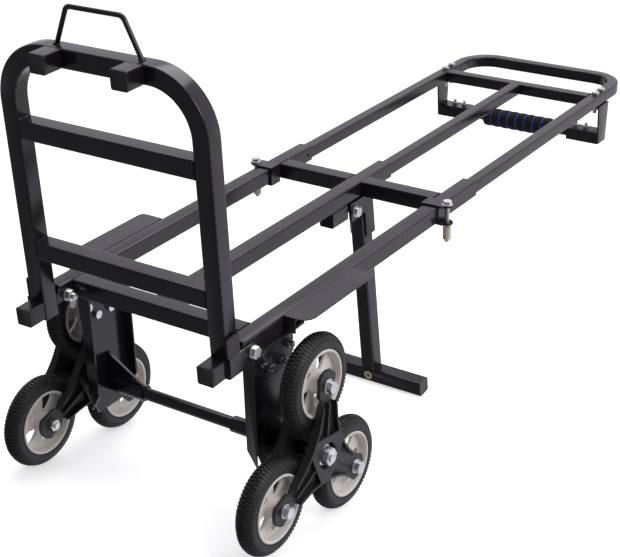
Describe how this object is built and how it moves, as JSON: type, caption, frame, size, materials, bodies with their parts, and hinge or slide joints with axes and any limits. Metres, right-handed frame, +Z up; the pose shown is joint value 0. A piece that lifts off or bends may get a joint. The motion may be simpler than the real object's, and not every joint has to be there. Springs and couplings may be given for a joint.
{
  "type": "stair climbing trolley",
  "caption": "Laid-down stair climbing trolley: tube deck with telescoping hoop, folding toe frame and leg, and three-armed wheel stars on each side.",
  "frame": {"origin": "on the ground, at the middle of the length and width of the whole object", "axes": "+X along the trolley from the toe frame to the far hoop, +Y its left side, +Z up"},
  "size_m": [1.4694, 0.5298, 0.7629],
  "materials": {
    "black_paint": "gloss",
    "casting": "matt black",
    "zinc_steel": "zinc plated",
    "tyre_rubber": "matt",
    "rim_plastic": "satin off-white",
    "cream_plastic": "satin",
    "cap_plastic": "satin",
    "grip_foam": "soft foam, black with blue rings"
  },
  "bodies": {
    "main_frame": {"outer_tube_left": "black_paint", "outer_tube_right": "black_paint", "centre_tube": "black_paint", "front_crossbar": "black_paint", "middle_crossbars": "black_paint", "guard_left": "black_paint", "guard_right": "black_paint", "clamps": "black_paint", "clamp_bolts": "zinc_steel", "clamp_sleeves": "cream_plastic", "side_plate_left": "black_paint", "side_plate_right": "black_paint", "frame_lugs": "black_paint", "side_plate_bolts": "zinc_steel", "axle": "black_paint", "axle_gusset": "black_paint", "axle_sleeves": "black_paint", "hub_nuts": "zinc_steel", "star_bushes": "black_paint", "leg_bracket": "black_paint", "leg_stop": "black_paint", "leg_pivot_bolt": "zinc_steel", "toe_hinge_bolts": "zinc_steel"},
    "upper_frame": {"upper_hoop": "black_paint", "centre_slider": "black_paint", "far_crossbar": "black_paint", "handle_brackets": "black_paint", "bracket_bolts": "zinc_steel", "handle_bar": "black_paint", "handle_bar_bolts": "zinc_steel", "grip": "grip_foam"},
    "toe_frame": {"toe_hoop": "black_paint", "toe_crossbars": "black_paint", "toe_stubs": "black_paint", "toe_stub_caps": "cap_plastic", "toe_wire_handle": "black_paint", "toe_hinge_plates": "black_paint"},
    "support_leg": {"leg_post": "black_paint", "leg_foot": "black_paint", "leg_foot_caps": "cap_plastic", "leg_grommet": "cream_plastic"},
    "star_left": {"star_inner_left": "casting", "star_outer_left": "casting", "wheel_axles_left": "zinc_steel"},
    "wheel_left_1": {"tyre_left_1": "tyre_rubber", "rim_left_1": "rim_plastic"},
    "wheel_left_2": {"tyre_left_2": "tyre_rubber", "rim_left_2": "rim_plastic"},
    "wheel_left_3": {"tyre_left_3": "tyre_rubber", "rim_left_3": "rim_plastic"},
    "star_right": {"star_inner_right": "casting", "star_outer_right": "casting", "wheel_axles_right": "zinc_steel"},
    "wheel_right_1": {"tyre_right_1": "tyre_rubber", "rim_right_1": "rim_plastic"},
    "wheel_right_2": {"tyre_right_2": "tyre_rubber", "rim_right_2": "rim_plastic"},
    "wheel_right_3": {"tyre_right_3": "tyre_rubber", "rim_right_3": "rim_plastic"}
  },
  "joints": [
    {"name": "frame_slide", "type": "slide", "parent": "main_frame", "child": "upper_frame", "axis": [0.9888, 0, 0.1495], "range_m": [-0.505, 0]},
    {"name": "toe_hinge", "type": "hinge", "parent": "main_frame", "child": "toe_frame", "pos_m": [-0.58004, 0, 0.30535], "axis": [0, 1, 0], "range_deg": [0, 91]},
    {"name": "leg_hinge", "type": "hinge", "parent": "main_frame", "child": "support_leg", "pos_m": [-0.04914, 0, 0.35934], "axis": [0, 1, 0], "range_deg": [0, 95]},
    {"name": "star_left_turn", "type": "hinge", "parent": "main_frame", "child": "star_left", "pos_m": [-0.47549, 0.223, 0.129], "axis": [0, 1, 0], "continuous": true},
    {"name": "wheel_left_1_roll", "type": "hinge", "parent": "star_left", "child": "wheel_left_1", "pos_m": [-0.47549, 0.223, 0.237], "axis": [0, 1, 0], "continuous": true},
    {"name": "wheel_left_2_roll", "type": "hinge", "parent": "star_left", "child": "wheel_left_2", "pos_m": [-0.38196, 0.223, 0.075], "axis": [0, 1, 0], "continuous": true},
    {"name": "wheel_left_3_roll", "type": "hinge", "parent": "star_left", "child": "wheel_left_3", "pos_m": [-0.56902, 0.223, 0.075], "axis": [0, 1, 0], "continuous": true},
    {"name": "star_right_turn", "type": "hinge", "parent": "main_frame", "child": "star_right", "pos_m": [-0.47549, -0.223, 0.129], "axis": [0, 1, 0], "continuous": true},
    {"name": "wheel_right_1_roll", "type": "hinge", "parent": "star_right", "child": "wheel_right_1", "pos_m": [-0.47549, -0.223, 0.237], "axis": [0, 1, 0], "continuous": true},
    {"name": "wheel_right_2_roll", "type": "hinge", "parent": "star_right", "child": "wheel_right_2", "pos_m": [-0.38196, -0.223, 0.075], "axis": [0, 1, 0], "continuous": true},
    {"name": "wheel_right_3_roll", "type": "hinge", "parent": "star_right", "child": "wheel_right_3", "pos_m": [-0.56902, -0.223, 0.075], "axis": [0, 1, 0], "continuous": true}
  ]
}
